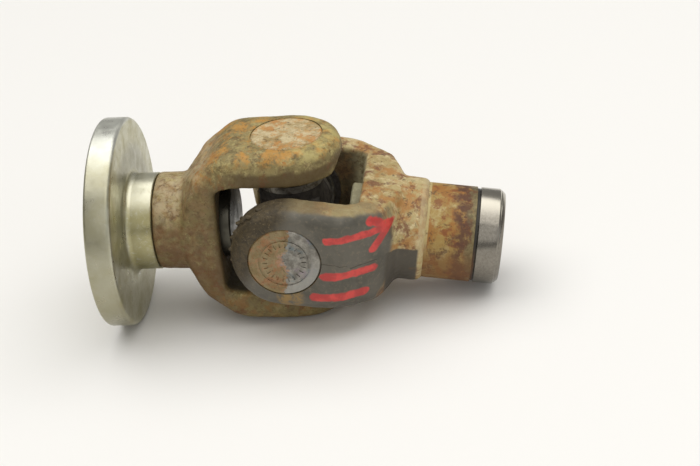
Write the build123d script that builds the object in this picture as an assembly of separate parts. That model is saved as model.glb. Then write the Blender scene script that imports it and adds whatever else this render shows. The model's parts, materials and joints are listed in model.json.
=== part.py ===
"""Universal joint with a drive flange on one side and a turned stub shaft on the other.

Row frame: the origin is the centre of the flange's outer face, +X runs along the flange's axis
towards the stub shaft, and +Z runs along the flange yoke's trunnion axis. Every piece is first
modelled about the joint's centre, where the four trunnion axes meet, and then moved to its place.
A bearing stack is modelled once on +Z, with its closed end outwards, and turned to its ear.
All sizes are in millimetres.
"""

from build123d import *
from math import cos, pi, radians, sin, sqrt, tan
import os

# ------------------------------------------------------------------ driving dimensions
# The cross kit: a standard cross, 27 mm cups, 70 mm over the cups.
cross_length = 70.0
cup_diameter = 27.0
cup_overhang = 3.0                # how far a cup stands out of its ear, inside the fork
cup_floor = 3.0
cup_wall = 2.46
cup_chamfer = 0.6
cup_mouth_fillet = 0.5
face_ring_inset = 3.9             # shallow ring turned into a cup's outer face
face_ring_width = 0.8
face_ring_depth = 0.25
needle_diameter = 3.0
needle_end_play = 0.25            # from a needle's end to the washer, and to the seal
needle_chamfer = 0.2
needle_spacing = 0.1              # least room between two needles
thrust_washer_thickness = 0.8
seal_depth = 1.2                  # how far the seal reaches into the cup
thrust_washer_hole = 2.5
snap_ring_thickness = 1.4
snap_ring_groove_depth = 0.85
snap_ring_reach = 2.1             # how far a snap ring stands out of its cup
snap_ring_gap_angle = 70.0
arm_inset = 1.2                   # how much smaller in radius the cross's arms are than the cups
arm_setback = 3.5                 # from an arm's end face to the cup's mouth
web_setback = 0.5                 # how far the forged web stays below the arms' ends
web_thickness = 22.0
web_chamfer = 3.0
guard_seat_step = 1.5             # how much larger in radius a guard's seat is than the trunnion
guard_seat_setback = 1.6          # from the seat's end to the cup's mouth
guard_wall = 0.8
guard_height = 2.6
trunnion_chamfer = 0.8

# The forks.
ear_wall = 7.0                    # round end of an ear, about its cup
ear_thickness = 12.5
spot_face_margin = 1.0            # flat part of an ear's inner face, about its snap ring
crotch_draft = 1.2                # how much the gap narrows from there to its bottom, on each side
crotch_fillet = 3.5
ear_edge_fillet = 6.0
mouth_flare_start = 17.0          # the gap flares from here to the ears' tips, past the other fork
mouth_flare_angle = 60.0
foot_fillet = 9.0
knee_fillet = 18.0
shoulder_fillet = 15.0
cone_length = 18.0                # the forging is turned down to a cone where it meets the hub
cone_rise = 30.0

flange_hub_diameter = 37.0
flange_crotch_room = 5.8          # between the other fork's ears and this fork's bottom
flange_foot_depth = 14.2          # from the fork's bottom back to where the shoulder leaves the hub
flange_knee_depth = 7.5           # from the fork's bottom back to the shoulder's knee
flange_knee_drop = 9.4            # how far the knee is below the ear's flat outer face
flange_shoulder_top = 22.0        # where the shoulder meets the ear's flat outer face
flange_fork_back = 51.7           # where the fork's hub meets the flange's neck
flange_back_chamfer = 0.3
flange_spigot_diameter = 28.6

shaft_hub_diameter = 39.0
shaft_crotch_room = 4.1
shaft_foot_depth = 15.6
shaft_knee_depth = 9.2
shaft_knee_drop = 8.6
shaft_shoulder_top = 20.5
shaft_fork_back = 50.2
shaft_back_chamfer = 1.6
shaft_spigot_diameter = 30.0

# The flange and the stub shaft.
flange_diameter = 80.0
flange_thickness = 10.0
flange_to_centre = 72.0           # from the flange's outer face to the joint's centre
flange_rim_fillet = 2.0
flange_neck_fillet = 2.5
spigot_reach = 3.8                # how far both spigots stand out of the crotch
spigot_chamfer = 0.6
stub_diameter = 36.0
stub_length = 28.3                # from the fork's back to the shaft's end
stub_groove_offset = 9.9          # from the groove's middle to the shaft's end
stub_groove_width = 1.3
stub_groove_depth = 0.6
stub_end_chamfer = 1.2
stub_end_reduction = 0.5          # the last stretch of the shaft is this much smaller in radius
stub_end_length = 2.0

bend = 8.4                        # degrees that the shaft side hangs down at rest

# ------------------------------------------------------------------ fits
needle_clearance = 0.02           # radial, on each side of a needle
end_clearance = 0.05              # trunnion end to thrust washer
lip_clearance = 0.03              # seal lip to trunnion
seal_gap = 0.25                   # seal flange to guard skirt
groove_clearance = 0.05           # snap ring in its groove
washer_clearance = 0.15           # thrust washer in the cup's bore
seal_seat_clearance = 0.3         # seal flange to the guard's seat
seal_guard_gap = 0.6              # seal flange to the guard's plate

# ------------------------------------------------------------------ worked out from these
cup_face = cross_length / 2
cup_radius = cup_diameter / 2
ear_inner = cup_face - ear_thickness
cup_mouth = ear_inner - cup_overhang
cup_floor_face = cup_face - cup_floor
cup_bore_radius = cup_radius - cup_wall
needle_radius = needle_diameter / 2
pitch_radius = cup_bore_radius - needle_clearance - needle_radius
trunnion_radius = pitch_radius - needle_radius - needle_clearance
needle_count = int(2 * pi * pitch_radius / (needle_diameter + needle_spacing))
washer_face = cup_floor_face - thrust_washer_thickness
trunnion_end = washer_face - end_clearance
seal_end = cup_mouth + seal_depth
needle_start = seal_end + needle_end_play
needle_end = washer_face - needle_end_play
groove_radius = cup_radius - snap_ring_groove_depth
snap_ring_radius = cup_radius + snap_ring_reach
spot_face_radius = snap_ring_radius + spot_face_margin
ear_radius = cup_radius + ear_wall
arm_radius = cup_radius - arm_inset
arm_reach = cup_mouth - arm_setback
web_radius = arm_reach - web_setback
guard_seat_radius = trunnion_radius + guard_seat_step
guard_radius = arm_radius
seal_flange_radius = guard_radius - guard_wall - seal_gap
flange_crotch = ear_radius + flange_crotch_room
flange_shoulder_foot = flange_crotch + flange_foot_depth
flange_shoulder_knee = (-flange_crotch - flange_knee_depth, cup_face - flange_knee_drop)
shaft_crotch = ear_radius + shaft_crotch_room
shaft_shoulder_foot = shaft_crotch + shaft_foot_depth
shaft_shoulder_knee = (-shaft_crotch - shaft_knee_depth, cup_face - shaft_knee_drop)
flange_spigot_end = flange_crotch - spigot_reach
shaft_spigot_end = shaft_crotch - spigot_reach


def rod(radius, start, end):
    """A plain cylinder on Z, from height start to height end."""
    return extrude(Plane.XY.offset(start) * Circle(radius), end - start)


def ring(outer, inner, start, end):
    """A plain ring on Z, from height start to height end."""
    return rod(outer, start, end) - rod(inner, start - 1, end + 1)


def turned(*profile):
    """A solid turned about X from the outline (x, r) of its upper half."""
    return revolve(make_face(Polyline(*profile, close=True)), Axis.X)


# ------------------------------------------------------------------ bearing stack, on +Z
def bearing_cup():
    cup = rod(cup_radius, cup_mouth, cup_face)
    cup = chamfer(cup.edges().group_by(Axis.Z)[-1], cup_chamfer)
    cup = fillet(cup.edges().group_by(Axis.Z)[0], cup_mouth_fillet)
    cup -= rod(cup_bore_radius, cup_mouth - 1, cup_floor_face)
    groove_start = ear_inner - snap_ring_thickness - groove_clearance
    cup -= ring(cup_radius + 1, groove_radius, groove_start, ear_inner)
    face_ring = cup_radius - face_ring_inset
    return cup - ring(face_ring, face_ring - face_ring_width, cup_face - face_ring_depth, cup_face + 1)


def needle_rollers():
    needle = Pos(pitch_radius, 0, 0) * rod(needle_radius, needle_start, needle_end)
    needle = chamfer(needle.edges().filter_by(GeomType.CIRCLE), needle_chamfer)
    step = 360 / needle_count
    return [Rot(0, 0, i * step) * needle for i in range(needle_count)]


def thrust_washer():
    return ring(cup_bore_radius - washer_clearance, thrust_washer_hole, washer_face, cup_floor_face)


def cup_seal():
    lip_radius = trunnion_radius + lip_clearance
    body = ring(cup_bore_radius, lip_radius, cup_mouth, seal_end)
    flange_start = arm_reach + guard_wall + seal_guard_gap
    flange = ring(seal_flange_radius, guard_seat_radius + seal_seat_clearance, flange_start, cup_mouth)
    return body + flange


def seal_guard():
    plate = ring(guard_radius, guard_seat_radius, arm_reach, arm_reach + guard_wall)
    skirt = ring(guard_radius, guard_radius - guard_wall, arm_reach, arm_reach + guard_height)
    return plate + skirt


def snap_ring():
    clip = ring(snap_ring_radius, groove_radius, ear_inner - snap_ring_thickness, ear_inner)
    reach = 2 * snap_ring_radius
    half = radians(snap_ring_gap_angle / 2)
    mouth = Polyline((0, 0), (reach * cos(half), reach * sin(half)),
                     (reach * cos(half), -reach * sin(half)), close=True)
    return clip - extrude(make_face(mouth), cross_length)


# ------------------------------------------------------------------ cross and nipple
nipple_thread_radius = 3.0
nipple_thread_length = 5.0
nipple_hex = 7.0
nipple_hex_height = 2.2
nipple_spot_face_radius = 4.8
nipple_neck_radius = 2.1
nipple_head_radius = 2.9
nipple_length = 7.4               # above its seat
nipple_head_height = 3.0
nipple_head_chamfer = 1.3
nipple_under_chamfer = 0.7
nipple_lip = 1.2                  # solid end that the ball closes from inside
nipple_bore_radius = 1.4
nipple_mouth_radius = 0.7
ball_radius = 1.1
ball_travel = 0.5
ball_clearance = 0.02
spring_wire = 0.35
spring_turns = 5
spring_clearance = 0.1
spring_foot = 0.6                 # from the bottom of the nipple's bore to the spring
passage_radius = 2.0
seat_in_web = 0.5                 # how deep the nipple's seat is cut into the web
seat_in_arms = 1.4                # and into the crease where two arms meet
nipple_seat = max(web_radius - seat_in_web, arm_radius * sqrt(2) - seat_in_arms)


def on_nipple_axis(shape):
    """Turns a shape on +Z to the nipple's place, between the far and the lower arm."""
    return Rot(-135, 0, 0) * shape


def cross():
    arm = Cylinder(arm_radius, 2 * arm_reach)
    arm += Cylinder(guard_seat_radius, 2 * (cup_mouth - guard_seat_setback))
    trunnion = Cylinder(trunnion_radius, 2 * trunnion_end)
    arm += chamfer(trunnion.edges().filter_by(GeomType.CIRCLE), trunnion_chamfer)
    web = Rot(0, 90, 0) * Cylinder(web_radius, web_thickness)
    web = chamfer(web.edges().filter_by(GeomType.CIRCLE), web_chamfer)
    body = web + arm + Rot(90, 0, 0) * arm
    body -= on_nipple_axis(rod(nipple_spot_face_radius, nipple_seat, 2 * nipple_seat))
    passage = Cylinder(passage_radius, 3 * trunnion_end)
    body -= passage
    body -= Rot(90, 0, 0) * passage
    body -= on_nipple_axis(extrude(Circle(nipple_bore_radius), nipple_seat + 1))
    socket = Pos(0, 0, nipple_seat - nipple_thread_length)
    return body - on_nipple_axis(socket * extrude(Circle(nipple_thread_radius), 2 * nipple_thread_length))


def grease_nipple_body():
    top = nipple_seat + nipple_length
    shank = rod(nipple_thread_radius, nipple_seat - nipple_thread_length, nipple_seat)
    collar = Pos(0, 0, nipple_seat) * extrude(RegularPolygon(nipple_hex / 2, 6, major_radius=False),
                                             nipple_hex_height)
    neck = rod(nipple_neck_radius, nipple_seat, top - nipple_lip)
    head = rod(nipple_head_radius, top - nipple_head_height, top)
    head = chamfer(head.edges().group_by(Axis.Z)[-1], nipple_head_chamfer)
    head = chamfer(head.edges().group_by(Axis.Z)[0], nipple_under_chamfer)
    nipple = shank + collar + neck + head
    nipple -= rod(nipple_bore_radius, 0, top - nipple_lip)
    nipple -= rod(nipple_mouth_radius, 0, top + 1)
    return on_nipple_axis(nipple)


def ball_centre():
    """The ball closes the nipple's mouth: it touches the mouth's inner edge."""
    seat = nipple_seat + nipple_length - nipple_lip
    return seat - sqrt(ball_radius ** 2 - nipple_mouth_radius ** 2) - ball_clearance


def grease_nipple_ball():
    return on_nipple_axis(Pos(0, 0, ball_centre()) * Sphere(ball_radius))


def grease_nipple_spring():
    coil_radius = nipple_bore_radius - spring_wire / 2 - spring_clearance
    bottom = nipple_seat - nipple_thread_length + spring_foot
    top = ball_centre() - ball_radius - ball_travel
    pitch = (top - bottom) / spring_turns
    path = Helix(pitch=pitch, height=top - bottom, radius=coil_radius)
    wire = Plane(path @ 0, z_dir=path % 0) * Circle(spring_wire / 2)
    return on_nipple_axis(Pos(0, 0, bottom) * sweep(wire, path=path, is_frenet=True))


# ------------------------------------------------------------------ forks, opening towards +X
def rounded_blank(hub_radius, shoulder_foot, shoulder_knee, shoulder_top):
    """The forging before its gap and bores: ears up and down, rounded along their outer edges."""
    tip = ear_radius + 1
    back = shoulder_foot + 2 * foot_fillet
    outline = FilletPolyline((-back, hub_radius), (-shoulder_foot, hub_radius), shoulder_knee,
                             (-shoulder_top, cup_face), (tip, cup_face),
                             radius=[foot_fillet, knee_fillet, shoulder_fillet])
    closing = Polyline((tip, cup_face), (tip, 0), (-back, 0), (-back, hub_radius))
    upper = extrude(Plane.XZ * make_face([outline, closing]), cross_length, both=True)
    side = upper + Rot(180, 0, 0) * upper
    ends = [Circle(ear_radius).edge(), Pos(-back, 0) * Circle(hub_radius).edge()]
    blank = side & extrude(make_hull(ends), cross_length, both=True)
    rims = blank.edges().filter_by(is_outer_rim)
    blank = fillet(rims, ear_edge_fillet)
    cone = turned((-shoulder_foot, 0), (-shoulder_foot, hub_radius),
                  (-shoulder_foot + cone_length, hub_radius + cone_rise),
                  (tip, hub_radius + cone_rise), (tip, 0))
    return blank & cone


def is_outer_rim(edge):
    """True for the edges between an ear's flat outer face and its side walls."""
    middle = edge @ 0.5
    return abs(abs(middle.Z) - cup_face) < 0.01 and abs(middle.Y) > 1


def fork(hub_radius, crotch, shoulder_foot, shoulder_knee, shoulder_top, back, back_chamfer,
         spigot_radius):
    """A fork with its ears on the Z axis and its hub on the -X side."""
    body = rounded_blank(hub_radius, shoulder_foot, shoulder_knee, shoulder_top)
    far = ear_radius + 2
    mouth = ear_inner + (far - mouth_flare_start) * tan(radians(mouth_flare_angle))
    narrow = ear_inner - crotch_draft
    gap = make_face(Polyline((far, mouth), (mouth_flare_start, ear_inner), (-spot_face_radius, ear_inner),
                             (-crotch, narrow), (-crotch, -narrow), (-spot_face_radius, -ear_inner),
                             (mouth_flare_start, -ear_inner), (far, -mouth), close=True))
    gap = fillet(gap.vertices().group_by(Axis.X)[0], crotch_fillet)
    body -= extrude(Plane.XZ * gap, cross_length, both=True)
    hub = Rot(0, 90, 0) * rod(hub_radius, -back, -crotch)
    body += chamfer(hub.edges().group_by(Axis.X)[0], back_chamfer)
    body -= Rot(0, 90, 0) * rod(spigot_radius, -back - 1, -crotch + 1)
    return body - rod(cup_radius, -cross_length, cross_length)


def flange_yoke():
    return fork(flange_hub_diameter / 2, flange_crotch, flange_shoulder_foot, flange_shoulder_knee,
                flange_shoulder_top, flange_fork_back, flange_back_chamfer,
                flange_spigot_diameter / 2)


def shaft_yoke():
    return fork(shaft_hub_diameter / 2, shaft_crotch, shaft_shoulder_foot, shaft_shoulder_knee,
                shaft_shoulder_top, shaft_fork_back, shaft_back_chamfer, shaft_spigot_diameter / 2)


# ------------------------------------------------------------------ flange and stub shaft
def flange_hub():
    """The drive flange, its neck and the spigot through the fork, turned in one piece."""
    face = -flange_to_centre
    seat = face + flange_thickness
    neck = flange_hub_diameter / 2
    spigot = flange_spigot_diameter / 2
    blank = turned((face, 0), (face, flange_diameter / 2), (seat, flange_diameter / 2), (seat, neck),
                   (-flange_fork_back, neck), (-flange_fork_back, spigot), (-flange_spigot_end, spigot),
                   (-flange_spigot_end, 0))
    circles = blank.edges().filter_by(GeomType.CIRCLE)
    rim = circles.filter_by(lambda edge: abs(edge.radius - flange_diameter / 2) < 0.01)
    blank = fillet(rim, flange_rim_fillet)
    circles = blank.edges().filter_by(GeomType.CIRCLE)
    root = circles.filter_by(lambda edge: abs(edge.radius - neck) < 0.01).group_by(Axis.X)[0]
    blank = fillet(root, flange_neck_fillet)
    return chamfer(blank.edges().group_by(Axis.X)[-1], spigot_chamfer)


def stub_shaft():
    """The output shaft and the spigot through its fork, turned in one piece; it points to -X here."""
    spigot = shaft_spigot_diameter / 2
    radius = stub_diameter / 2
    end = shaft_fork_back + stub_length
    step = end - stub_end_length
    groove = end - stub_groove_offset
    end_radius = radius - stub_end_reduction
    groove_bottom = radius - stub_groove_depth
    blank = turned((-shaft_spigot_end, 0), (-shaft_spigot_end, spigot), (-shaft_fork_back, spigot),
                   (-shaft_fork_back, radius), (stub_groove_width / 2 - groove, radius),
                   (stub_groove_width / 2 - groove, groove_bottom),
                   (-stub_groove_width / 2 - groove, groove_bottom),
                   (-stub_groove_width / 2 - groove, radius), (-step, radius), (-step, end_radius),
                   (-end, end_radius), (-end, 0))
    blank = chamfer(blank.edges().group_by(Axis.X)[-1], spigot_chamfer)
    return chamfer(blank.edges().group_by(Axis.X)[0], stub_end_chamfer)


# ------------------------------------------------------------------ assembly
def assemble():
    """Every node by name, in the row frame."""
    centre = Pos(flange_to_centre, 0, 0)
    sagging = centre * Rot(0, bend, 0)
    to_shaft_side = Rot(90, 0, 0) * Rot(0, 0, 180)
    nodes = {
        "flange_hub": centre * flange_hub(),
        "flange_yoke": centre * flange_yoke(),
        "shaft_yoke": sagging * to_shaft_side * shaft_yoke(),
        "stub_shaft": sagging * to_shaft_side * stub_shaft(),
        "cross": centre * cross(),
        "grease_nipple_body": centre * grease_nipple_body(),
        "grease_nipple_ball": centre * grease_nipple_ball(),
        "grease_nipple_spring": centre * grease_nipple_spring(),
    }
    ears = {
        "top": (centre, Rot(0, 0, 0)),
        "bottom": (centre, Rot(180, 0, 0)),
        "near": (sagging, to_shaft_side),
        "far": (sagging, Rot(180, 0, 0) * to_shaft_side),
    }
    for ear, (side, turn) in ears.items():
        nodes[f"bearing_cup_{ear}"] = side * turn * bearing_cup()
        nodes[f"thrust_washer_{ear}"] = side * turn * thrust_washer()
        nodes[f"cup_seal_{ear}"] = side * turn * cup_seal()
        nodes[f"snap_ring_{ear}"] = side * turn * snap_ring()
        nodes[f"seal_guard_{ear}"] = centre * turn * seal_guard()
        needles = [side * turn * needle for needle in needle_rollers()]
        nodes[f"needle_rollers_{ear}"] = Compound(children=needles)
    return nodes


if __name__ == "__main__":
    os.makedirs("parts", exist_ok=True)
    for name, shape in assemble().items():
        export_step(shape, f"parts/{name}.step")
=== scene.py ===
"""Looks of the universal joint: forged yokes, plated flange, turned shaft, cups and cross."""

import json
import math

import bpy
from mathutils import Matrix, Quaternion, Vector


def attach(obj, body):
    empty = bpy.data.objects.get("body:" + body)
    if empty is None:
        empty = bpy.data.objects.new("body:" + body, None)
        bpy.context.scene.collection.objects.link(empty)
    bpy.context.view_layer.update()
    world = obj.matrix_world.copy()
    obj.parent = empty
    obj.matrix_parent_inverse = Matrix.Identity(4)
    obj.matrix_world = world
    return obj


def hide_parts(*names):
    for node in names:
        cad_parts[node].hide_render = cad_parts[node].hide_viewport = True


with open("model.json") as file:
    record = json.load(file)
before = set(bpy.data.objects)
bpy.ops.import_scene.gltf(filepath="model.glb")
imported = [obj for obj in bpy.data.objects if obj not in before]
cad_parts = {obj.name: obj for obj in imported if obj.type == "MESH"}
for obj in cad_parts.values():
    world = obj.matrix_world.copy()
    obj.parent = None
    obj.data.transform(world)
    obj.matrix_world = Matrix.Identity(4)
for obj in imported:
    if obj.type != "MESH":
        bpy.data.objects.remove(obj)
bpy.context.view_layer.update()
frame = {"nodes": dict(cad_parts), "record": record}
nodes = frame["nodes"]

# ---------------------------------------------------------------- sizes, in metres
MM = 0.001
joint = next(j for j in frame["record"]["behaviour"]["joints"] if j["name"] == "shaft_trunnion")
CENTRE = tuple(joint["pos_m"])
journal = next(m for m in frame["record"]["mounts"] if m["name"] == "shaft_journal")
BEND = math.atan2(-journal["axis"][2], journal["axis"][0])     # how far the shaft side hangs down
CUP_RADIUS = 13.5 * MM
CUP_FACE = 35.0 * MM                   # from the joint's centre to a cup's outer face
EAR_THICKNESS = 12.5 * MM
FLANGE_RADIUS = 40.0 * MM
FLANGE_THICKNESS = 10.0 * MM

FORGING_GRID = 0.55 * MM               # remeshing size of the forgings
FORGING_SMOOTHING = 34                 # passes that round their edges
FORGING_LUMPS = 0.6 * MM               # how uneven their surfaces are
BORE_ROOM = 0.06 * MM                  # from a cup to its bore in the forging
TURNED_SIDES = 160                     # sides of a turned piece

STAMP_COUNT = 22                       # strokes in the ring on a side cup
STAMP_RADIUS = 7.1 * MM

UP = (0, 0, 1)
NEAR = (0, -1, 0)


# ---------------------------------------------------------------- modelling helpers
def deselect():
    """Object mode with nothing selected, so that the next operator acts on its own piece only."""
    if bpy.context.object and bpy.context.object.mode != "OBJECT":
        bpy.ops.object.mode_set(mode="OBJECT")
    bpy.ops.object.select_all(action="DESELECT")


def pick(piece):
    deselect()
    piece.select_set(True)
    bpy.context.view_layer.objects.active = piece


def settle(piece):
    """Moves the piece's place into its mesh."""
    pick(piece)
    bpy.ops.object.transform_apply(location=True, rotation=True, scale=True)


def smooth_shading(piece, degrees):
    pick(piece)
    bpy.ops.object.shade_smooth_by_angle(angle=math.radians(degrees))


def modifier(piece, kind, **values):
    """Adds a modifier and applies it at once."""
    pick(piece)
    added = piece.modifiers.new(kind.lower(), kind)
    for name, value in values.items():
        setattr(added, name, value)
    bpy.ops.object.modifier_apply(modifier=added.name)


def copy_of(node, name):
    """A copy of a CAD node's mesh as a new piece, with its loose triangles merged."""
    piece = nodes[node].copy()
    piece.data = nodes[node].data.copy()
    piece.name = name
    piece.data.name = name
    bpy.context.scene.collection.objects.link(piece)
    piece.parent = None
    piece.matrix_world = nodes[node].matrix_world
    pick(piece)
    bpy.ops.object.mode_set(mode="EDIT")
    bpy.ops.mesh.select_all(action="SELECT")
    bpy.ops.mesh.remove_doubles(threshold=0.002 * MM)
    bpy.ops.object.mode_set(mode="OBJECT")
    bpy.ops.mesh.customdata_custom_splitnormals_clear()
    return piece


def to_shaft_side(piece):
    """Turns a piece modelled along the row's axes about the joint's centre to the shaft side's slant."""
    pick(piece)
    bpy.ops.object.mode_set(mode="EDIT")
    bpy.ops.mesh.select_all(action="SELECT")
    bpy.ops.transform.rotate(value=-BEND, orient_axis="Y", center_override=CENTRE)
    bpy.ops.object.mode_set(mode="OBJECT")


# ---------------------------------------------------------------- material helpers
class Finish:
    """A node material in millimetres about the joint's centre, in the frame of one side."""

    def __init__(self, name, slanted=False):
        self.material = bpy.data.materials.new(name)
        self.material.use_nodes = True
        self.tree = self.material.node_tree
        self.shader = self.tree.nodes["Principled BSDF"]
        place = self.add("ShaderNodeMapping", vector_type="TEXTURE")
        place.inputs["Location"].default_value = CENTRE
        place.inputs["Rotation"].default_value = (0, BEND if slanted else 0, 0)
        place.inputs["Scale"].default_value = (MM, MM, MM)
        texture = self.add("ShaderNodeTexCoord")
        self.link(texture.outputs["Object"], place.inputs["Vector"])
        self.place = place.outputs["Vector"]
        split = self.add("ShaderNodeSeparateXYZ")
        self.link(self.place, split.inputs[0])
        self.x, self.y, self.z = split.outputs
        self.base = None
        self.heights = []

    def add(self, kind, **values):
        node = self.tree.nodes.new(kind)
        for name, value in values.items():
            setattr(node, name, value)
        return node

    def link(self, source, socket):
        """Joins an output to a socket, or writes a plain value there."""
        if isinstance(source, bpy.types.NodeSocket):
            self.tree.links.new(source, socket)
        else:
            socket.default_value = source

    def math(self, operation, *values, clamp=False):
        node = self.add("ShaderNodeMath", operation=operation, use_clamp=clamp)
        for socket, value in zip(node.inputs, values):
            self.link(value, socket)
        return node.outputs[0]

    def noise(self, size, detail=4, rough=0.55, distort=0.0, shift=0.0, stretch=(1, 1, 1)):
        """Noise whose features are about size millimetres across, from 0 to 1."""
        moved = self.add("ShaderNodeMapping")
        moved.inputs["Location"].default_value = (shift, shift * 0.7, -shift)
        moved.inputs["Scale"].default_value = stretch
        self.link(self.place, moved.inputs["Vector"])
        node = self.add("ShaderNodeTexNoise")
        self.link(moved.outputs[0], node.inputs["Vector"])
        node.inputs["Scale"].default_value = 1 / size
        node.inputs["Detail"].default_value = detail
        node.inputs["Roughness"].default_value = rough
        node.inputs["Distortion"].default_value = distort
        return node.outputs["Fac"]

    def step(self, value, low, high):
        """0 below low, 1 above high, smooth between; low may be the larger."""
        node = self.add("ShaderNodeMapRange", interpolation_type="SMOOTHSTEP", clamp=True)
        self.link(value, node.inputs["Value"])
        node.inputs["From Min"].default_value = low
        node.inputs["From Max"].default_value = high
        return node.outputs["Result"]

    def grain(self, size, low, high, shift=0.0):
        """Ragged patches: broad noise roughened by fine noise, then thresholded."""
        broad = self.noise(size, detail=5, rough=0.62, distort=0.35, shift=shift)
        fine = self.noise(size / 5, detail=5, rough=0.7, shift=shift + 100)
        ragged = self.math("ADD", self.math("MULTIPLY", broad, 0.72), self.math("MULTIPLY", fine, 0.28))
        return self.step(ragged, low, high)

    def both(self, *masks):
        total = masks[0]
        for mask in masks[1:]:
            total = self.math("MULTIPLY", total, mask)
        return total

    def outside(self, mask):
        """What a mask leaves over."""
        return self.math("SUBTRACT", 1.0, mask)

    def away(self, value):
        """Distance from the middle, either way."""
        return self.math("ABSOLUTE", value)

    def sway(self, noise, reach):
        """Noise as a shift to either side, for ragged edges."""
        return self.math("MULTIPLY", self.math("SUBTRACT", noise, 0.5), reach)

    def either(self, first, second):
        return self.math("MAXIMUM", first, second)

    def mix(self, base, top, mask):
        node = self.add("ShaderNodeMix", data_type="RGBA")
        self.link(mask, node.inputs[0])
        self.link(colour(base), node.inputs[6])
        self.link(colour(top), node.inputs[7])
        return node.outputs[2]

    def layer(self, top, *masks):
        """Lays a colour over what is there, where all the masks meet."""
        self.base = self.mix(self.base, top, self.both(*masks))

    def blend(self, base, top, mask):
        node = self.add("ShaderNodeMix", data_type="FLOAT")
        self.link(mask, node.inputs[0])
        self.link(base, node.inputs[2])
        self.link(top, node.inputs[3])
        return node.outputs[0]

    def radius(self, first, second):
        """Distance from the axis that the two coordinates are square to."""
        return self.math("SQRT", self.math("ADD", self.math("MULTIPLY", first, first),
                                           self.math("MULTIPLY", second, second)))

    def facing(self, direction):
        """1 where the surface looks along direction, -1 where it looks the other way."""
        texture = self.add("ShaderNodeTexCoord")
        node = self.add("ShaderNodeVectorMath", operation="DOT_PRODUCT")
        self.link(texture.outputs["Normal"], node.inputs[0])
        node.inputs[1].default_value = direction
        return node.outputs["Value"]

    def stroke(self, start, end, width, soft):
        """A mask of a drawn stroke between two points of the plane of X and Z."""
        along = (end[0] - start[0], end[1] - start[1])
        length2 = along[0] ** 2 + along[1] ** 2
        wobble = self.sway(self.noise(3.0, shift=9), 1.8)
        dx = self.math("SUBTRACT", self.math("ADD", self.x, wobble), start[0])
        dz = self.math("SUBTRACT", self.math("ADD", self.z, wobble), start[1])
        reach = self.math("ADD", self.math("MULTIPLY", dx, along[0] / length2),
                          self.math("MULTIPLY", dz, along[1] / length2), clamp=True)
        away_x = self.math("SUBTRACT", dx, self.math("MULTIPLY", reach, along[0]))
        away_z = self.math("SUBTRACT", dz, self.math("MULTIPLY", reach, along[1]))
        return self.step(self.radius(away_x, away_z), width / 2 + soft, width / 2 - soft)

    def raise_by(self, height, strength, distance):
        self.heights.append((height, strength, distance))

    def finish(self, rough, metallic=0.0):
        self.link(colour(self.base), self.shader.inputs["Base Color"])
        self.link(rough, self.shader.inputs["Roughness"])
        self.link(metallic, self.shader.inputs["Metallic"])
        normal = None
        for height, strength, distance in self.heights:
            bump = self.add("ShaderNodeBump")
            bump.inputs["Strength"].default_value = strength
            bump.inputs["Distance"].default_value = distance * MM
            self.link(height, bump.inputs["Height"])
            if normal:
                self.link(normal, bump.inputs["Normal"])
            normal = bump.outputs["Normal"]
        if normal:
            self.link(normal, self.shader.inputs["Normal"])
        return self.material


def colour(value):
    """A colour socket passes through; three numbers become an opaque colour."""
    return value if isinstance(value, bpy.types.NodeSocket) else (*value, 1.0)


# ---------------------------------------------------------------- finishes
def zinc_plate():
    """Turned steel under yellow-green passivated zinc; painted highlights on the rim's top and the neck's
    upper side, painted shade on the rim below, the lower face and about the neck.
    """
    f = Finish("zinc_plate")
    radius = f.radius(f.y, f.z)
    patches = f.noise(10, detail=5, rough=0.6, distort=0.3, shift=3)
    f.base = f.mix((0.558, 0.549, 0.429), (0.41, 0.385, 0.226), f.step(patches, 0.35, 0.68))
    neck = f.both(f.step(radius, 24, 19.5), f.step(f.x, -62.5, -60))
    f.layer((0.36, 0.32, 0.15), neck, 0.75)
    # painted reflection: the neck's up-facing side is lighter
    f.layer((0.68, 0.67, 0.56), neck, f.step(f.facing(UP), 0.5, 0.9), 0.75)
    f.layer((0.64, 0.64, 0.562), f.grain(1.6, 0.5, 0.72, shift=8), 0.5)
    f.layer((0.295, 0.254, 0.117), f.grain(4.5, 0.56, 0.74, shift=21), 0.6)
    f.layer((0.164, 0.131, 0.07), f.grain(1.3, 0.66, 0.74, shift=29), 0.6)

    # painted shade: the face is darker towards the bottom
    shaded_lower_face = f.both(f.step(radius, 22, 26), f.step(f.z, 4, -18))
    f.layer((0.33, 0.29, 0.17), shaded_lower_face, 0.35)
    # painted shade on the face about the lower side of the neck
    neck_shade = f.both(f.step(radius, 33, 27), f.step(radius, 19, 21), f.step(f.z, -12, 2))
    f.layer((0.27, 0.26, 0.2), neck_shade, 0.6)
    # painted shade: the rim is darker below its top
    rim = f.both(f.step(radius, 39.2, 39.8), f.step(f.z, 37, 30))
    f.layer((0.33, 0.31, 0.22), rim, 0.7)
    # painted highlight along the top of the rim
    rim_highlight = f.both(f.step(radius, 38.4, 39.2), f.step(f.z, 33, 38))
    f.layer((0.72, 0.73, 0.68), rim_highlight, 0.8)
    f.layer((0.09, 0.084, 0.065), f.step(f.x, -32, -29))

    lines = f.noise(0.5, detail=2, shift=5, stretch=(1, 0.02, 0.02))
    face_lines = f.add("ShaderNodeTexNoise", noise_dimensions="1D")
    f.link(radius, face_lines.inputs["W"])
    face_lines.inputs["Scale"].default_value = 1.6
    face_lines.inputs["Detail"].default_value = 3
    turned = f.blend(lines, face_lines.outputs["Fac"], f.step(radius, 20, 22))
    f.raise_by(turned, 0.35, 0.06)
    f.raise_by(f.noise(2.5, detail=5, rough=0.6), 0.15, 0.15)
    return f.finish(f.blend(0.26, 0.5, f.grain(6, 0.35, 0.7, shift=44)), 0.85)


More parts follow.
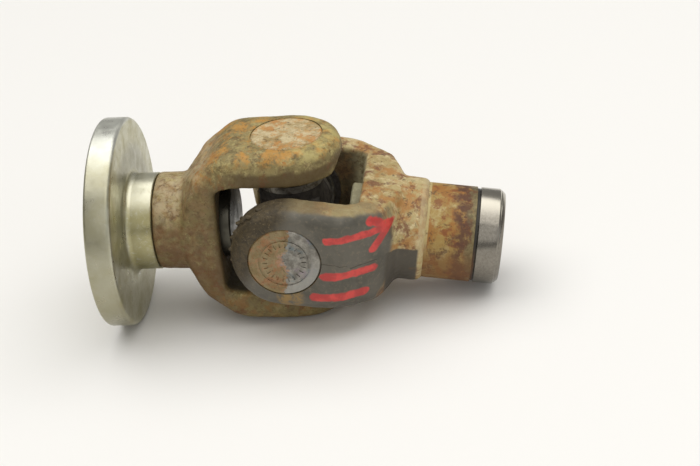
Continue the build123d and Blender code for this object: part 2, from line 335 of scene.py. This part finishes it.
def flange_yoke_finish():
    """Olive forging scale: mauve-brown hub, orange bloom on the upper ear, painted shade on the undersides,
    flanks, window edges and inside the fork, painted light on up-facing tops.
    """
    f = Finish("flange_forging")
    wide = f.noise(16, detail=4, rough=0.55, distort=0.3, shift=4)
    f.base = f.mix((0.205, 0.16, 0.06), (0.285, 0.225, 0.088), f.step(wide, 0.38, 0.62))
    f.layer((0.46, 0.38, 0.16), f.grain(3.6, 0.49, 0.62, shift=12), 0.7)
    f.layer((0.115, 0.08, 0.028), f.grain(5, 0.49, 0.6, shift=35), 0.7)
    hub = f.step(f.x, -24, -31)
    f.layer((0.272, 0.158, 0.066), hub, f.grain(3.4, 0.4, 0.58, shift=7), 0.8)
    f.layer((0.096, 0.043, 0.018), f.grain(2.4, 0.5, 0.62, shift=23), f.blend(0.4, 0.7, hub))
    wine = f.both(f.grain(6, 0.47, 0.56, shift=58), f.step(f.x, -22, -27), f.step(f.z, 8, 2))
    f.layer((0.16, 0.052, 0.022), wine, f.step(f.z, -22, -16), 0.65)

    ear_top = f.both(f.step(f.facing(UP), 0.15, 0.75), f.step(f.z, 20, 27))
    f.layer((0.48, 0.238, 0.044), ear_top, f.grain(6.5, 0.47, 0.6, shift=27), 0.85)
    f.layer((0.4, 0.154, 0.022), ear_top, f.grain(2.6, 0.58, 0.68, shift=71), 0.8)
    foot = f.both(f.step(f.x, -20, -25), f.step(f.x, -40, -34), f.grain(4.5, 0.5, 0.6, shift=66))
    f.layer((0.336, 0.14, 0.026), foot, f.step(f.away(f.z), 19, 24), 0.75)
    low = f.both(f.step(f.z, -18, -26), f.grain(5, 0.46, 0.6, shift=41))
    f.layer((0.304, 0.119, 0.02), low, 0.7)

    # painted shade on the ears' sides below their lit top, where they face away from above
    side = f.step(f.radius(f.math("MULTIPLY", f.y, 0.75), f.z), 23, 30)
    wave = f.sway(f.noise(9, detail=4, shift=83), 9)
    under = f.both(f.step(f.math("ADD", f.z, wave), 29.5, 27), f.step(f.z, 21, 23), f.step(f.x, -24, -14),
                   f.step(side, 0.2, 0.8), f.step(f.facing(UP), 0.5, 0.1))
    f.layer((0.096, 0.059, 0.02), under, 0.9)
    # painted shade along the edges of the fork's window, in place of the shading of their rounding
    edge = f.both(f.step(f.x, -30.5, -26.5), f.step(f.x, -20, -25), f.step(f.away(f.z), 25, 20),
                  f.blend(0.5, 1.0, f.grain(3, 0.4, 0.6, shift=88)))
    f.layer((0.085, 0.055, 0.022), edge, 0.75)
    # painted shade inside the fork
    inside = f.both(f.step(f.away(f.z), 23.6, 22.2), f.step(f.x, -27.5, -25.5),
                    f.step(f.away(f.y), 18.5, 16))
    f.layer((0.028, 0.021, 0.01), inside, 0.9)
    f.layer((0.056, 0.028, 0.011), f.grain(0.9, 0.57, 0.64, shift=31), 0.8)

    # painted light on the hub's up-facing top
    hub_top_light = f.both(f.step(f.x, -26, -32), f.step(f.facing(UP), 0.1, 0.75),
                   f.grain(3, 0.38, 0.6, shift=47))
    f.layer((0.5, 0.42, 0.26), hub_top_light, 0.6)
    # painted light on the up-facing tops of the shoulders
    shoulder_top_light = f.both(f.step(f.facing(UP), 0.2, 0.6), f.step(f.x, 1, 6), f.step(f.z, 20, 27),
                      f.grain(4, 0.4, 0.6, shift=53))
    f.layer((0.5, 0.42, 0.16), shoulder_top_light, 0.65)
    flank = f.step(f.facing(UP), 0.6, 0.1)
    # painted shade: surfaces that face away from above are darker below the ear tops
    f.layer((0.13, 0.092, 0.034), flank, f.step(f.z, 30, 24), 0.45)
    low_hub = f.both(f.step(f.x, -26, -32), f.step(f.z, -4, -14))
    f.layer((0.12, 0.065, 0.018), low_hub, 0.55)
    rusty = f.both(f.grain(5, 0.54, 0.62, shift=111), flank)
    f.layer((0.15, 0.06, 0.018), rusty, 0.75)

    f.raise_by(f.noise(0.55, detail=4, rough=0.65, shift=31), 0.35, 0.14)
    f.raise_by(f.noise(1.6, detail=6, rough=0.7, shift=17), 0.4, 0.35)
    f.raise_by(f.noise(5, detail=5, rough=0.6, shift=11), 0.35, 0.7)
    return f.finish(f.blend(0.5, 0.82, f.grain(2, 0.35, 0.65, shift=3)), 0.1)


# an arrow and two bars: both ends of each stroke in X and Z, and its width
PAINT_MARKS = (
    ((14.5, 10.5), (36.0, 13.5), 2.8),
    ((36.5, 13.8), (29.5, 17.0), 2.6),
    ((36.5, 13.8), (31.5, 5.5), 2.8),
    ((14.5, -4.5), (32.0, -2.5), 3.0),
    ((11.5, -13.5), (29.5, -12.0), 3.2),
)


def shaft_yoke_finish():
    """Cream and orange rust, a bare grey flat with red marker strokes, and a dark cast rim; painted shade
    inside the fork and on the near ear's top, painted light on the crotch's bottom and a painted highlight
    on the hub's end.
    """
    f = Finish("shaft_forging", True)
    wide = f.noise(12, detail=4, rough=0.55, distort=0.4, shift=4)
    f.base = f.mix((0.36, 0.27, 0.11), (0.45, 0.36, 0.17), f.step(wide, 0.38, 0.62))
    f.layer((0.605, 0.5, 0.28), f.grain(4, 0.48, 0.62, shift=14), 0.8)
    f.layer((0.37, 0.17, 0.042), f.grain(8, 0.47, 0.6, shift=23), 0.85)
    f.layer((0.18, 0.07, 0.03), f.grain(6, 0.5, 0.6, shift=37), 0.85)
    f.layer((0.067, 0.03, 0.015), f.grain(2.4, 0.56, 0.64, shift=49), 0.75)
    # painted highlight on the upper half of the hub's end
    hub_end_highlight = f.both(f.step(f.x, 46.8, 47.6), f.step(f.z, -3, 0))
    f.layer((0.504, 0.407, 0.228), hub_end_highlight, 0.5)
    # painted shadow on the top of the near ear, deepest towards its tip
    band = f.both(f.step(f.facing(UP), 0.3, 0.8), f.step(f.y, -18, -21))
    f.layer((0.15, 0.115, 0.055), band, f.step(f.x, 18, 8), 0.85)
    f.layer((0.26, 0.21, 0.1), band, f.step(f.x, 8, 18), f.step(f.x, 34, 30), 0.75)

    waver = f.sway(f.noise(4, detail=5, shift=77), 2.5)
    front = f.both(f.step(f.facing(NEAR), 0.3, 0.62), f.step(f.y, -15, -17.5), f.step(f.x, 39, 37))
    patch = f.both(f.step(f.x, 35.5, 37), f.step(f.x, 48.3, 47.3), f.step(f.y, -3, -6),
                   f.step(f.math("ADD", f.z, f.math("MULTIPLY", waver, 0.4)), 2.2, 1.4))
    bare = f.either(front, patch)
    grey = f.mix((0.08, 0.073, 0.056), (0.118, 0.107, 0.084), f.step(wide, 0.35, 0.65))
    grey = f.mix(grey, (0.227, 0.185, 0.12), f.both(f.grain(1.5, 0.5, 0.7, shift=51), 0.5))
    grey = f.mix(grey, (0.353, 0.185, 0.048), f.both(patch, f.grain(6, 0.56, 0.64, shift=90), 0.7))
    bleed = f.both(f.step(f.radius(f.math("SUBTRACT", f.x, 3), f.math("ADD", f.z, 15)), 6, 3.5),
                   f.grain(3, 0.4, 0.55, shift=93))
    grey = f.mix(grey, (0.302, 0.185, 0.054), f.both(bleed, 0.8))
    grey = f.mix(grey, (0.062, 0.05, 0.034), f.both(patch, 0.7))
    f.layer(grey, bare)

    tip = f.both(f.step(f.math("ADD", f.x, f.math("MULTIPLY", f.z, -0.45)), -5, -13),
                 f.step(f.y, -19, -22))
    cast = f.mix((0.04, 0.028, 0.012), (0.085, 0.06, 0.026), f.grain(2, 0.4, 0.65, shift=19))
    f.layer(cast, tip, 0.95)
    glint = f.both(f.grain(1.2, 0.58, 0.66, shift=62), tip)
    f.layer((0.294, 0.229, 0.132), glint, 0.6)
    # painted shade on the inner walls of the fork
    shaded_walls = f.both(f.step(f.away(f.y), 23.6, 22.2), f.step(f.x, 24.4, 23.6),
                   f.step(f.away(f.z), 19.5, 17))
    f.layer(f.mix((0.05, 0.036, 0.02), (0.16, 0.1, 0.045), f.grain(3, 0.48, 0.6, shift=95)), shaded_walls, 0.85)
    # painted light: the bottom of the crotch, in shade, is given a near-white colour to look lit
    bottom = f.both(f.step(f.away(f.y), 22.4, 21.2), f.step(f.x, 16, 19), f.step(f.x, 25.6, 25),
                    f.step(f.away(f.z), 20, 18))
    f.layer(f.mix((0.6, 0.54, 0.33), (0.22, 0.17, 0.085), f.grain(7, 0.45, 0.6, shift=97)), bottom, 0.95)
    scratch = f.either(f.stroke((13.5, 1.0), (22.5, 0.2), 0.35, 0.15),
                       f.stroke((24, -0.8), (33, 0.6), 0.35, 0.15))
    f.layer((0.05, 0.037, 0.024), scratch, bare, 0.8)

    paint = None
    for start, end, width in PAINT_MARKS:
        stroke = f.stroke(start, end, width, 0.35)
        paint = f.either(paint, stroke) if paint else stroke
    paint = f.both(paint, f.step(f.y, -12, -15), f.step(f.facing(NEAR), 0.05, 0.3),
                   f.blend(0.72, 1.0, f.grain(1.4, 0.3, 0.5, shift=5)))
    f.layer(f.mix((0.6, 0.055, 0.045), (0.42, 0.035, 0.03), f.step(f.noise(5, shift=9), 0.4, 0.6)), paint)

    f.raise_by(f.noise(0.55, detail=4, rough=0.65, shift=31), 0.3, 0.12)
    rugged = f.both(f.noise(1.6, detail=6, rough=0.7, shift=17), f.math("SUBTRACT", 1.15, bare))
    f.raise_by(rugged, 0.45, 0.35)
    f.raise_by(f.noise(5, detail=5, rough=0.6, shift=11), 0.3, 0.6)
    f.raise_by(f.both(f.noise(1.8, detail=6, rough=0.75, shift=36), tip), 0.6, 0.8)
    rough = f.blend(f.blend(0.5, 0.82, f.grain(2, 0.35, 0.65, shift=3)), 0.42, f.both(bare, 0.85))
    return f.finish(f.blend(rough, 0.4, paint), f.blend(0.1, 0.3, f.both(bare, f.outside(paint))))


def turned_shaft():
    """Rusty journal with a painted highlight by the hub, a scale-dark band, a groove in painted shade and a
    freshly turned end with a painted highlight along its top.
    """
    f = Finish("turned_shaft", True)
    wide = f.noise(9, detail=5, rough=0.6, distort=0.5, shift=5)
    f.base = f.mix((0.3, 0.171, 0.036), (0.36, 0.252, 0.077), f.step(wide, 0.38, 0.62))
    f.layer((0.46, 0.372, 0.164), f.grain(6, 0.5, 0.64, shift=52), 0.75)
    f.layer((0.3, 0.121, 0.018), f.grain(8, 0.46, 0.58, shift=19), 0.85)
    f.layer((0.19, 0.051, 0.011), f.grain(4.5, 0.51, 0.6, shift=73), 0.8)
    edge = f.math("ADD", f.x, f.sway(f.noise(6, detail=6, rough=0.65, shift=2), 13))
    # painted highlight on the upper side of the journal next to the hub
    line = f.both(f.step(f.x, 50.9, 50.5), f.step(f.facing(UP), -0.2, 0.4))
    f.layer((0.5, 0.422, 0.2), line, 0.7)
    spots = f.both(f.step(edge, 58.5, 61.5), f.grain(3, 0.36, 0.52, shift=29))
    f.layer((0.084, 0.03, 0.014), spots, 0.9)
    f.layer((0.07, 0.03, 0.013), f.grain(4, 0.53, 0.62, shift=87), 0.8)
    scale_band = f.step(edge, 64.8, 67.2)
    scale = f.mix((0.13, 0.1, 0.046), (0.22, 0.173, 0.081), f.grain(1.6, 0.4, 0.6, shift=40))
    f.layer(scale, scale_band)
    bright = f.step(f.math("ADD", f.x, f.math("MULTIPLY", f.noise(2, shift=6), 1.2)), 68.9, 69.7)
    steel = f.mix((0.27, 0.25, 0.215), (0.19, 0.173, 0.145), f.grain(0.9, 0.35, 0.7, shift=13))
    # painted highlight along the top of the turned end
    steel = f.mix(steel, (0.5, 0.47, 0.4), f.step(f.z, 13.5, 17.5))
    f.layer(steel, bright)
    radius = f.radius(f.y, f.z)
    # painted shade in the groove
    groove = f.both(f.step(radius, 17.85, 17.6), f.step(f.x, 67.6, 68), f.step(f.x, 69.8, 69.3))
    f.layer((0.035, 0.032, 0.026), groove)
    zinc = f.mix((0.4, 0.37, 0.23), (0.3, 0.27, 0.16), f.grain(3, 0.42, 0.62, shift=68))
    f.layer(zinc, f.step(f.x, 27, 26))

    f.raise_by(f.noise(0.4, detail=2, stretch=(1, 0.02, 0.02)), 0.25, 0.03)
    rusty = f.outside(bright)
    f.layer((0.15, 0.058, 0.012), f.step(f.z, 6, -5), rusty, 0.6)
    f.raise_by(f.both(f.noise(1.1, detail=6, rough=0.7, shift=3), rusty), 0.5, 0.3)
    rough = f.blend(f.blend(0.5, 0.8, wide), 0.24, bright)
    rough = f.blend(rough, 0.42, f.both(scale_band, rusty))
    return f.finish(rough, f.either(bright, f.both(scale_band, 0.45)))


def cup_finish(name, slanted, along, blued):
    """Hardened cup: rusty all over, or with blued 1 half rust, half blued steel with a painted highlight on
    its lower outer ring, and a streak between.
    """
    f = Finish(name, slanted)
    across = {"z": f.y, "y": f.x}[along]
    pale = 1.0 - blued
    dim = 1.0 - 0.38 * blued             # the rust of a half-blued cup is darker
    f.base = f.mix((0.27 * dim, 0.18 * dim, 0.06 * dim), (0.36 * dim, 0.26 * dim, 0.11 * dim),
                   f.grain(4, 0.4, 0.6, shift=7))
    f.layer((0.6 * dim, 0.5 * dim, 0.3 * dim), f.grain(4.5, 0.38, 0.6, shift=15), 0.3 + 0.6 * pale)
    f.layer((0.45 * dim, 0.2 * dim, 0.045), f.grain(5, 0.5, 0.6, shift=33), 0.85)
    f.layer((0.5 * dim, 0.27 * dim, 0.08), f.grain(2.4, 0.52, 0.6, shift=39), 0.8)
    f.layer((0.1, 0.05, 0.02), f.grain(1.3, 0.56, 0.64, shift=45), 0.85)
    steel = f.mix((0.14, 0.13, 0.11), (0.31, 0.295, 0.26), f.grain(3.2, 0.38, 0.66, shift=22))
    steel = f.mix(steel, (0.12, 0.16, 0.175), f.both(f.grain(6, 0.5, 0.62, shift=51), 0.6))
    steel = f.mix(steel, (0.24, 0.18, 0.23), f.both(f.grain(6, 0.52, 0.66, shift=59), 0.55))

    wide = f.sway(f.noise(9, detail=2, shift=61), 16)
    ragged = f.sway(f.noise(1.5, detail=5, rough=0.65, shift=67), 8)
    place = f.math("ADD", across, f.math("ADD", wide, ragged))
    half = f.both(f.step(place, -0.5, 0.5), blued)
    # painted highlight: a lighter crescent on the lower outer ring of the blued half
    ring = f.both(f.step(f.radius(f.x, f.z), 9.2, 10.4), f.step(f.z, 6, -4))
    steel = f.mix(steel, (0.31, 0.3, 0.27), f.both(ring, 0.7))
    f.layer(steel, half)
    streak = f.both(f.step(place, -1.4, -0.7), f.step(place, 0.8, 0.2), f.step(f.away(f.z), 5, 3), blued)
    f.layer((0.5, 0.24, 0.15), streak, 0.35)
    f.raise_by(f.noise(1.2, detail=6, rough=0.7, shift=15), 0.35, 0.2)
    return f.finish(f.blend(0.6, 0.3, half), f.blend(0.12, 0.85, half))


def plain_metal(name, base, dark, rough, metallic):
    """A worn metal: two tones, fine scratches and uneven gloss."""
    f = Finish(name)
    wear = f.noise(3, detail=6, rough=0.65, distort=0.5)
    f.base = f.mix(base, dark, f.step(wear, 0.4, 0.68))
    f.raise_by(f.noise(0.5, detail=4, shift=12), 0.2, 0.05)
    return f.finish(f.blend(rough, min(rough + 0.25, 1), wear), metallic)


def soft_finish(name, base, dark, rough):
    """Rubber or nylon: dusty, with a fine grain."""
    f = Finish(name)
    dust = f.noise(2.4, detail=5)
    f.base = f.mix(base, dark, f.step(dust, 0.35, 0.7))
    f.raise_by(f.noise(0.35, detail=3), 0.25, 0.05)
    return f.finish(f.blend(rough, rough + 0.15, dust))


# ---------------------------------------------------------------- forged yokes
# lumps left by casting at the near ear's tip: place in millimetres about the joint's centre, and radius
BURRS = (((-13.6, -29.0, 15.2), 1.5), ((-11.8, -30.5, 16.8), 1.1), ((-15.8, -28.0, 13.0), 1.2),
         ((-17.2, -30.0, 10.4), 1.1), ((-18.6, -28.5, 7.6), 1.2), ((-19.4, -30.2, 3.6), 1.0),
         ((-19.6, -28.6, -1.8), 1.0), ((-8.2, -28.6, 18.6), 1.0))


def forge(node, name, burrs=()):
    """A forging made from the CAD yoke: rounded, slightly uneven, with its cup bores cut clean.

    The bores are filled first, so that smoothing rounds only the forging's outside.
    """
    piece = copy_of(node, name)
    slanted = node == "shaft_yoke"
    deselect()
    for sign in (1, -1):
        bpy.ops.mesh.primitive_cylinder_add(vertices=64, radius=CUP_RADIUS + 0.3 * MM, depth=EAR_THICKNESS,
                                            **bore_place(sign * (CUP_FACE - EAR_THICKNESS / 2), slanted))
        plug = bpy.context.object
        pick(piece)
        plug.select_set(True)
        bpy.ops.object.join()
    modifier(piece, "REMESH", mode="VOXEL", voxel_size=FORGING_GRID, adaptivity=0)
    modifier(piece, "SMOOTH", factor=0.6, iterations=FORGING_SMOOTHING)
    modifier(piece, "DISPLACE", texture=lumpy(name, 7), strength=FORGING_LUMPS, mid_level=0.5)
    for sign in (1, -1):
        cut_bore(piece, sign, slanted)
    for (x, y, z), radius in burrs:
        size = radius * MM
        deselect()
        bpy.ops.mesh.primitive_ico_sphere_add(subdivisions=3, radius=size,
                                              location=(CENTRE[0] + x * MM, y * MM, z * MM))
        burr = bpy.context.object
        burr.scale = (1.25, 1.0, 0.8)
        settle(burr)
        modifier(burr, "DISPLACE", texture=lumpy(name + "_burr", 1.4), strength=1.3 * size, mid_level=0.5)
        pick(piece)
        burr.select_set(True)
        bpy.ops.object.join()
    smooth_shading(piece, 50)
    return piece


def lumpy(name, size):
    """Cloud texture for uneven surfaces, with lumps about size millimetres across."""
    clouds = bpy.data.textures.new(name + "_lumps", "CLOUDS")
    clouds.noise_scale = size * MM
    clouds.noise_depth = 3
    return clouds


def bore_place(distance, slanted):
    """Where a cylinder on a trunnion axis goes: its middle and its turn."""
    if slanted:
        return {"location": (CENTRE[0], distance, 0), "rotation": (math.pi / 2, 0, 0)}
    return {"location": (CENTRE[0], 0, distance)}


def cut_bore(piece, sign, slanted):
    """Cuts one cup bore clean through its ear."""
    deselect()
    bpy.ops.mesh.primitive_cylinder_add(vertices=128, radius=CUP_RADIUS + BORE_ROOM, depth=30 * MM,
                                        **bore_place(sign * CUP_FACE, slanted))
    cutter = bpy.context.object
    modifier(piece, "BOOLEAN", operation="DIFFERENCE", object=cutter, solver="EXACT")
    bpy.data.objects.remove(cutter)


# ---------------------------------------------------------------- turned pieces
def lathe(name, stations):
    """A solid turned about the joint's X axis from (x, radius) stations in millimetres."""
    deselect()
    first_x, first_r = stations[0]
    bpy.ops.mesh.primitive_circle_add(vertices=TURNED_SIDES, radius=first_r * MM, fill_type="NGON",
                                      location=(CENTRE[0] + first_x * MM, 0, 0),
                                      rotation=(0, math.pi / 2, 0))
    piece = bpy.context.object
    piece.name = name
    settle(piece)
    bpy.ops.object.mode_set(mode="EDIT")
    bpy.ops.mesh.select_all(action="SELECT")
    last_x, last_r = first_x, first_r
    for x, radius in stations[1:]:
        bpy.ops.mesh.extrude_region_move(TRANSFORM_OT_translate={"value": ((x - last_x) * MM, 0, 0)})
        if abs(radius - last_r) > 1e-9:
            scale = radius / last_r
            bpy.ops.transform.resize(value=(1, scale, scale), center_override=(CENTRE[0] + x * MM, 0, 0))
        last_x, last_r = x, radius
    bpy.ops.mesh.select_all(action="SELECT")
    bpy.ops.mesh.normals_make_consistent(inside=False)
    bpy.ops.object.mode_set(mode="OBJECT")
    return piece


def arc(x, radius, size, first, last, steps=5):
    """Stations along a rounded edge: a circle of that size about (x, radius), between two angles."""
    angles = [math.radians(first + (last - first) * i / steps) for i in range(steps + 1)]
    return [(x + size * math.cos(angle), radius + size * math.sin(angle)) for angle in angles]


def flange_hub():
    """The drive flange, its neck and the spigot through the fork."""
    face = -CENTRE[0] / MM
    seat = face + FLANGE_THICKNESS / MM
    stations = [(face, 12), *arc(face + 1.2, 38.8, 1.2, 180, 90), *arc(seat - 2, 38, 2, 90, 0, 7),
                *arc(seat + 2.6, 21.1, 2.6, 180, 270, 7), (-52.0, 18.5), (-51.7, 18.2), (-51.7, 14.3),
                (-23.1, 14.3), (-22.5, 13.7), (-22.5, 6)]
    piece = lathe("flange_hub_turned", stations)
    smooth_shading(piece, 30)
    return piece


def stub_shaft():
    """The spigot through the fork, the journal and its groove, and the chamfered end."""
    piece = lathe("stub_shaft_turned", (
        (20.8, 6), (20.8, 14.4), (21.4, 15), (48.6, 15), (48.6, 18), (50.4, 18), (67.95, 18),
        (67.95, 17.4), (69.25, 17.4), (69.25, 18), (76.5, 18), (76.9, 17.5), (77.3, 17.4), (78.5, 16.3),
        (78.5, 7)))
    modifier(piece, "BEVEL", width=0.15 * MM, segments=2, limit_method="ANGLE",
             angle_limit=math.radians(25))
    to_shaft_side(piece)
    smooth_shading(piece, 30)
    return piece


def rusted_cup(ear, side):
    """The cup of an upper or lower ear, whose face ring is filled up with rust."""
    piece = copy_of(f"bearing_cup_{ear}", f"bearing_cup_{ear}_rusted")
    deselect()
    bpy.ops.mesh.primitive_cylinder_add(vertices=96, radius=10.1 * MM, depth=0.9 * MM,
                                        location=(CENTRE[0], 0, side * (CUP_FACE - 0.47 * MM)))
    fill = bpy.context.object
    modifier(piece, "BOOLEAN", operation="UNION", object=fill, solver="EXACT")
    bpy.data.objects.remove(fill)
    smooth_shading(piece, 30)
    return piece


def stamped_cup(ear, side):
    """The cup of a side ear with a ring of plain stamped strokes and a punch mark on its outer face."""
    piece = copy_of(f"bearing_cup_{ear}", f"bearing_cup_{ear}_stamped")
    marks = []
    for i in range(STAMP_COUNT):
        angle = 2 * math.pi * i / STAMP_COUNT
        place = (CENTRE[0] + STAMP_RADIUS * math.cos(angle), side * CUP_FACE,
                 STAMP_RADIUS * math.sin(angle))
        deselect()
        bpy.ops.mesh.primitive_cylinder_add(vertices=8, radius=0.5 * MM, depth=0.6 * MM, location=place,
                                            rotation=(math.pi / 2, -angle, 0))
        mark = bpy.context.object
        mark.scale = (1.9, 0.55, 1)
        settle(mark)
        marks.append(mark)
    deselect()
    bpy.ops.mesh.primitive_cone_add(vertices=24, radius1=1.3 * MM, radius2=0, depth=1.0 * MM,
                                    location=(CENTRE[0], side * CUP_FACE, 0),
                                    rotation=(side * math.pi / 2, 0, 0))
    punch = bpy.context.object
    settle(punch)
    marks.append(punch)
    deselect()
    for mark in marks:
        mark.select_set(True)
    bpy.context.view_layer.objects.active = marks[0]
    bpy.ops.object.join()
    stamp = bpy.context.object
    modifier(piece, "BOOLEAN", operation="DIFFERENCE", object=stamp, solver="EXACT")
    bpy.data.objects.remove(stamp)
    smooth_shading(piece, 30)
    return piece


# ---------------------------------------------------------------- assembly of the looks
def dress(piece, node, material):
    """Puts a finished piece in the place of a CAD node."""
    piece.data.materials.clear()
    piece.data.materials.append(material)
    body = next(name for name, members in frame["record"]["behaviour"]["bodies"].items() if node in members)
    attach(piece, body)
    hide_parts(node)


def coat(node, material):
    """Gives a CAD node a finish."""
    for slot in nodes[node].material_slots:
        slot.material = material


dress(flange_hub(), "flange_hub", zinc_plate())
dress(stub_shaft(), "stub_shaft", turned_shaft())
dress(forge("flange_yoke", "flange_yoke_forging"), "flange_yoke", flange_yoke_finish())
dress(forge("shaft_yoke", "shaft_yoke_forging", BURRS), "shaft_yoke", shaft_yoke_finish())

coat("cross", plain_metal("cross_steel", (0.07, 0.06, 0.05), (0.03, 0.025, 0.02), 0.55, 0.4))
top_cup = cup_finish("cup_top_steel", False, "z", 0.0)
near_cup = cup_finish("cup_near_steel", True, "y", 1.0)
for ear, side in (("top", 1), ("bottom", -1)):
    dress(rusted_cup(ear, side), f"bearing_cup_{ear}", top_cup)
for ear, side in (("near", -1), ("far", 1)):
    dress(stamped_cup(ear, side), f"bearing_cup_{ear}", near_cup)
guard = plain_metal("guard_steel", (0.3, 0.28, 0.24), (0.1, 0.08, 0.06), 0.4, 0.8)
spring_steel = plain_metal("spring_steel", (0.12, 0.11, 0.1), (0.06, 0.045, 0.035), 0.4, 0.7)
polished = plain_metal("polished_steel", (0.75, 0.74, 0.72), (0.6, 0.59, 0.57), 0.15, 1.0)
nipple = plain_metal("nipple_plate", (0.6, 0.56, 0.42), (0.42, 0.38, 0.25), 0.3, 0.9)
nylon = soft_finish("washer_nylon", (0.62, 0.58, 0.48), (0.5, 0.45, 0.35), 0.45)
rubber = soft_finish("seal_rubber", (0.02, 0.02, 0.02), (0.045, 0.042, 0.038), 0.6)
for ear in ("top", "bottom", "near", "far"):
    coat(f"seal_guard_{ear}", guard)
    coat(f"snap_ring_{ear}", spring_steel)
    coat(f"needle_rollers_{ear}", polished)
    coat(f"thrust_washer_{ear}", nylon)
    coat(f"cup_seal_{ear}", rubber)
coat("grease_nipple_body", nipple)
coat("grease_nipple_ball", polished)
coat("grease_nipple_spring", spring_steel)


# ---------------------------------------------------------------- floor, light and camera
def floor():
    """A pale plane that the flange's rim and the lower ear stand on."""
    rim = (8 * MM, -FLANGE_RADIUS)
    ear = (86.5 * MM, -CUP_FACE)
    slope = math.atan2(ear[1] - rim[1], ear[0] - rim[0])
    deselect()
    bpy.ops.mesh.primitive_plane_add(size=6, location=(rim[0], 0, rim[1] - 0.1 * MM),
                                     rotation=(0, -slope, 0))
    plane = bpy.context.object
    plane.name = "floor"
    material = bpy.data.materials.new("floor_paper")
    material.use_nodes = True
    shader = material.node_tree.nodes["Principled BSDF"]
    shader.inputs["Base Color"].default_value = (0.84, 0.83, 0.81, 1)
    shader.inputs["Roughness"].default_value = 0.75
    shader.inputs["Specular IOR Level"].default_value = 0.2
    plane.data.materials.append(material)


def area_light(name, place, target, size, power, tint=(1, 1, 1)):
    data = bpy.data.lights.new(name, "AREA")
    data.shape = "RECTANGLE"
    data.size, data.size_y = size
    data.energy = power
    data.color = tint
    lamp = bpy.data.objects.new(name, data)
    bpy.context.scene.collection.objects.link(lamp)
    lamp.location = place
    aim(lamp, target)


def aim(thing, target, roll=0.0):
    """Points -Z of a lamp or camera at target, then rolls it about its line of sight."""
    direction = Vector(target) - thing.location
    turn = direction.to_track_quat("-Z", "Y")
    thing.rotation_mode = "QUATERNION"
    thing.rotation_quaternion = turn @ Quaternion((0, 0, 1), roll)


def lights():
    """A wide soft box overhead, a weak fill from the front, a cool one from the right, and a dim room."""
    area_light("softbox_above", (0.1, 0.15, 2.3), CENTRE, (4.8, 3.4), 91, (1.0, 0.99, 0.965))
    area_light("front_fill", (0.1, -1.7, 1.1), CENTRE, (1.8, 1.4), 6.5, (1.0, 0.99, 0.97))
    area_light("window_right", (1.3, -1.1, 0.75), CENTRE, (0.9, 0.9), 2.5, (0.86, 0.93, 1.0))
    world = bpy.data.worlds.new("studio")
    bpy.context.scene.world = world
    world.use_nodes = True
    background = world.node_tree.nodes["Background"]
    background.inputs["Color"].default_value = (1.0, 0.985, 0.95, 1)
    background.inputs["Strength"].default_value = 0.24


def camera():
    """A long lens from the front and above, tilted a little; colours are shown without a film curve."""
    data = bpy.data.cameras.new("camera")
    data.lens = 87.9
    data.sensor_width = 36
    data.clip_start = 0.01
    view = bpy.data.objects.new("camera", data)
    bpy.context.scene.collection.objects.link(view)
    distance = 0.6512
    azimuth = math.radians(7.4)
    elevation = math.radians(29.07)
    target = (CENTRE[0] + 20.4 * MM, 0, -8.0 * MM)
    view.location = (target[0] + distance * math.cos(elevation) * math.sin(azimuth),
                     target[1] - distance * math.cos(elevation) * math.cos(azimuth),
                     target[2] + distance * math.sin(elevation))
    aim(view, target, math.radians(-5.23))
    bpy.context.scene.camera = view
    bpy.context.scene.view_settings.view_transform = "Standard"


floor()
lights()
camera()
